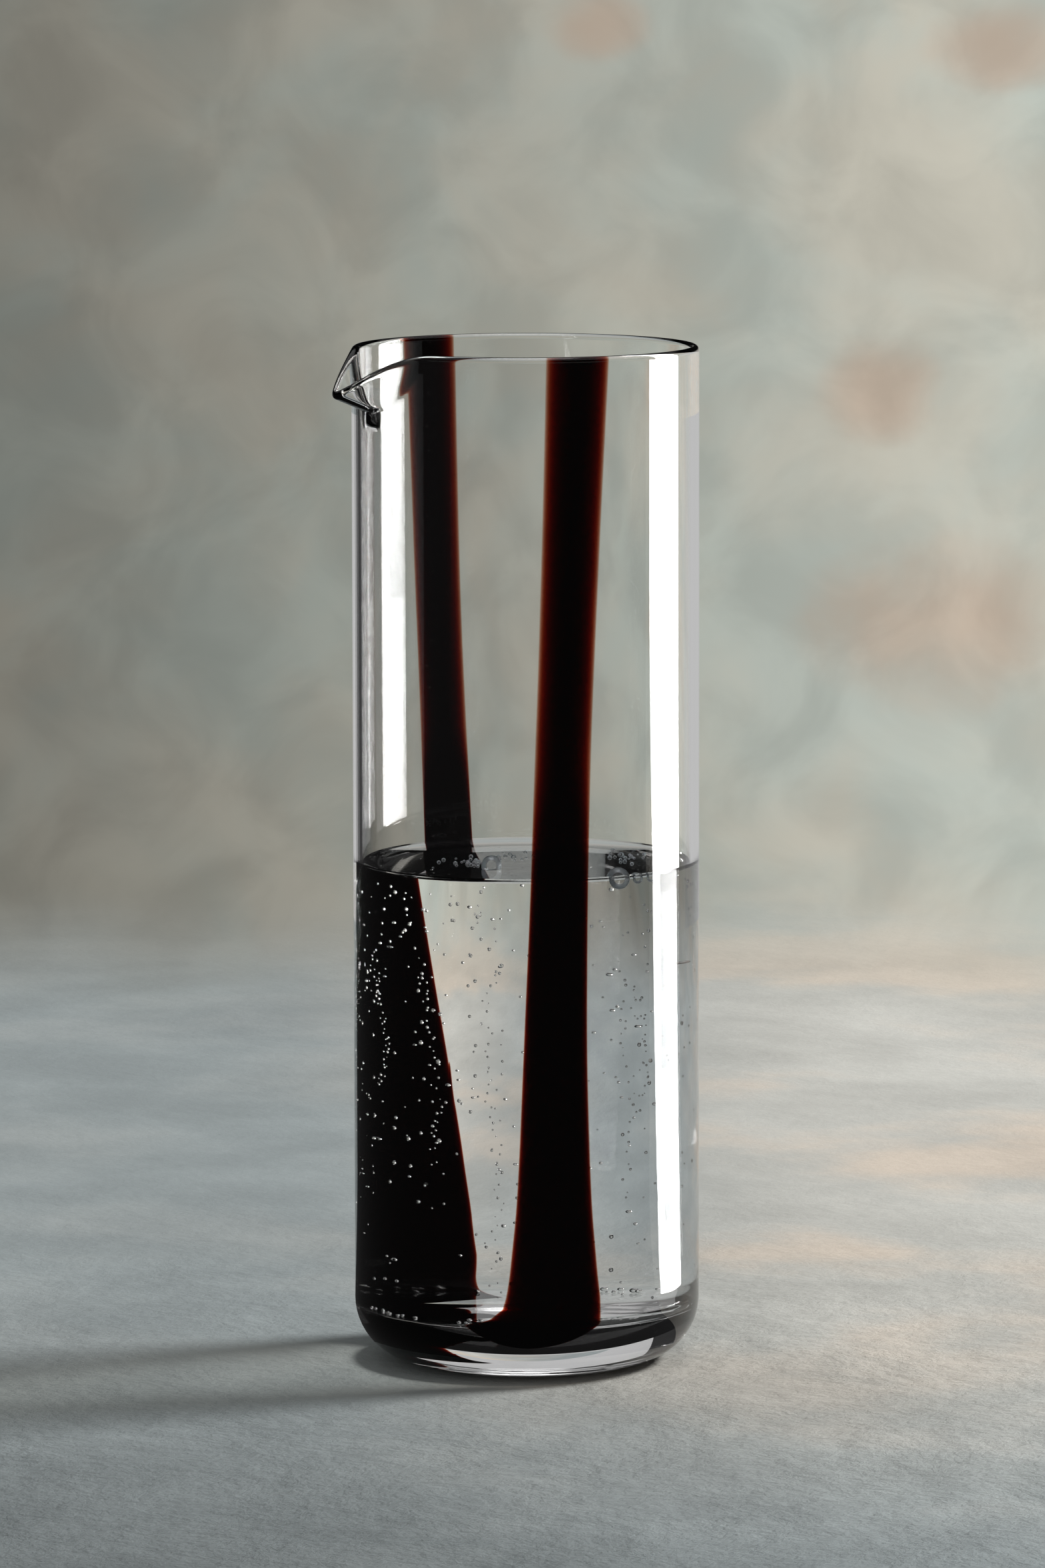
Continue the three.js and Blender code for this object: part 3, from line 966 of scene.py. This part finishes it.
def outward(degrees):
    """The level direction at an angle to the right of the camera's side."""
    angle = math.radians(degrees)
    return Vector(on_stage(math.sin(angle), -math.cos(angle), 0))


def add_light_card(name, edges, through_glass):
    points = []
    for reach, near, far in edges:
        points += [outward(angle) * reach + CARD_HEIGHT * UP for angle in (near, far)]
    add_card(name, points, CARD_STRENGTH, through_glass)


def arc_rows(arc, steps, *ends):
    """Rows of points along an arc. Each row has one for each end's reach and height."""
    across = [outward(lerp(*arc, step / steps)) for step in range(steps + 1)]
    return [way * reach + height * UP for way in across for reach, height in ends]


def overhead_rows():
    """Rows of two points across a level disc."""
    points = []
    for step in range(OVERHEAD_STEPS + 1):
        along = lerp(-1, 1, step / OVERHEAD_STEPS) * OVERHEAD_RADIUS
        half = math.sqrt(OVERHEAD_RADIUS ** 2 - along ** 2)
        points += [on_stage(along, away, OVERHEAD_HEIGHT) for away in (-half, half)]
    return points


def add_reflection_cards():
    add_light_card("front_light_card", FRONT_CARD_EDGES, False)
    add_light_card("inner_light_card", INNER_CARD_EDGES, True)
    add_card("dark_card", arc_rows(DARK_ARC, DARK_STEPS, (DARK_REACH, 0),
                                   (DARK_REACH, DARK_CARD_TOP)), DARK_STRENGTH)
    add_card("back_card", arc_rows(BACK_ARC, BACK_STEPS, (BACK_REACH, 0),
                                   (BACK_REACH, BACK_CARD_TOP)), BACK_STRENGTH)
    add_card("overhead_card", overhead_rows(), OVERHEAD_STRENGTH)
    # Painted shade: the lit floor round the jug looks dark in mirrors
    add_card("painted_shade_mat", arc_rows(DARK_ARC, DARK_STEPS, (DARK_MAT_START, DARK_MAT_HEIGHT),
                                  (DARK_REACH, DARK_MAT_HEIGHT)), DARK_STRENGTH)


# Light and render settings

SUN_PLACE = (1.6, 0.6, 1.4)
SUN_STRENGTH = 3.2
SUN_SPREAD = math.radians(15)
SKY_STRENGTH = 0.4
# The sky that is seen: its colour at the horizon, then greys, each with the rise of the look
# that it belongs to, where 1 is straight up
HORIZON_COLOUR = (0.35, 0.35, 0.32)
SKY_GREYS = ((0.06, 0.006), (0.45, 0.006), (0.6, 0.4))
MOST_BOUNCES = 32
GLOSSY_BOUNCES = 16
CLEAR_BOUNCES = 64
INDIRECT_CLAMP = 20


def add_sun():
    """Soft light from one side, for the floor and the shadow. The glass doesn't mirror it."""
    data = bpy.data.lights.new("sun", "SUN")
    data.energy = SUN_STRENGTH
    data.angle = SUN_SPREAD
    sun = bpy.data.objects.new("sun", data)
    sun.rotation_mode = "QUATERNION"
    sun.rotation_quaternion = on_stage(*SUN_PLACE).to_track_quat("Z", "Y")
    hide_from(sun, "glossy", "transmission")
    scene.collection.objects.link(sun)


def add_world():
    """Soft light for the floor, and for the camera, mirrors and glass a sky that is dark above
    the horizon and grey overhead."""
    world = bpy.data.worlds.new("studio")
    shading = Shading(world)
    path = shading.node("LightPath").outputs
    seen = shading.math("MAXIMUM", path["Is Camera Ray"], path["Is Glossy Ray"])
    seen = shading.math("MAXIMUM", seen, path["Is Transmission Ray"])
    place = shading.node("TexCoord").outputs["Generated"]
    rise = shading.node("SeparateXYZ", {0: place}).outputs["Z"]
    sky = shading.node("ValToRGB", {0: rise})
    levels = sky.color_ramp.elements
    levels[0].color = (*HORIZON_COLOUR, 1)
    levels.remove(levels[1])
    for height, grey in SKY_GREYS:
        levels.new(height).color = (grey, grey, grey, 1)
    soft = shading.node("Background", {"Strength": SKY_STRENGTH}).outputs[0]
    shown = shading.node("Background", {"Color": sky.outputs["Color"]}).outputs[0]
    shading.node("OutputWorld", {"Surface": shading.mix(seen, soft, shown)})
    scene.world = world


def set_render():
    scene.view_settings.view_transform = "Standard"
    scene.cycles.max_bounces = MOST_BOUNCES
    scene.cycles.glossy_bounces = GLOSSY_BOUNCES
    scene.cycles.transmission_bounces = MOST_BOUNCES
    scene.cycles.transparent_max_bounces = CLEAR_BOUNCES
    scene.cycles.sample_clamp_indirect = INDIRECT_CLAMP


# The whole

add_camera()
# The dry glass is the rim, the inside above the water and the outside down to the base
dry_glass = clear_glass("clear_glass", GLASS, WALL_TINT, WALL_MARGIN_TINT)
wet_glass = clear_glass("wet_glass", GLASS / WATER, CLEAR)
base_glass = clear_glass("base_glass", GLASS, BASE_TINT)
glass = add_glass(dry_glass, wet_glass, base_glass)
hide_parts("inner_gather", "outer_gather")
band_glass = dark_band_glass()
front_band = add_band("front_band_glass", "front", FRONT_COURSE, FRONT_FULLNESS, FRONT_FOOT_END,
                      band_glass)
back_band = add_band("back_band_glass", "back", BACK_COURSE, BACK_FULLNESS, BACK_FOOT_END,
                     band_glass)
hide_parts("front_band")
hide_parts("back_band")
# Where the water meets the glass, the glass alone bends the light
water = add_water(clear_glass("water_surface", WATER, SURFACE_TINT),
                  clear_glass("water_side", NO_BEND, CLEAR))
bubbles = add_bubbles("rising_bubbles", bubble_places(), bubble_air(), RISING_FINENESS)
foam = add_bubbles("floating_bubbles", surface_places(), bubble_film(), FLOATING_FINENESS)
for piece in (glass, front_band, back_band, water, bubbles, foam):
    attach(piece, "root")
add_floor()
add_backdrop()
add_reflection_cards()
add_sun()
add_world()
set_render()
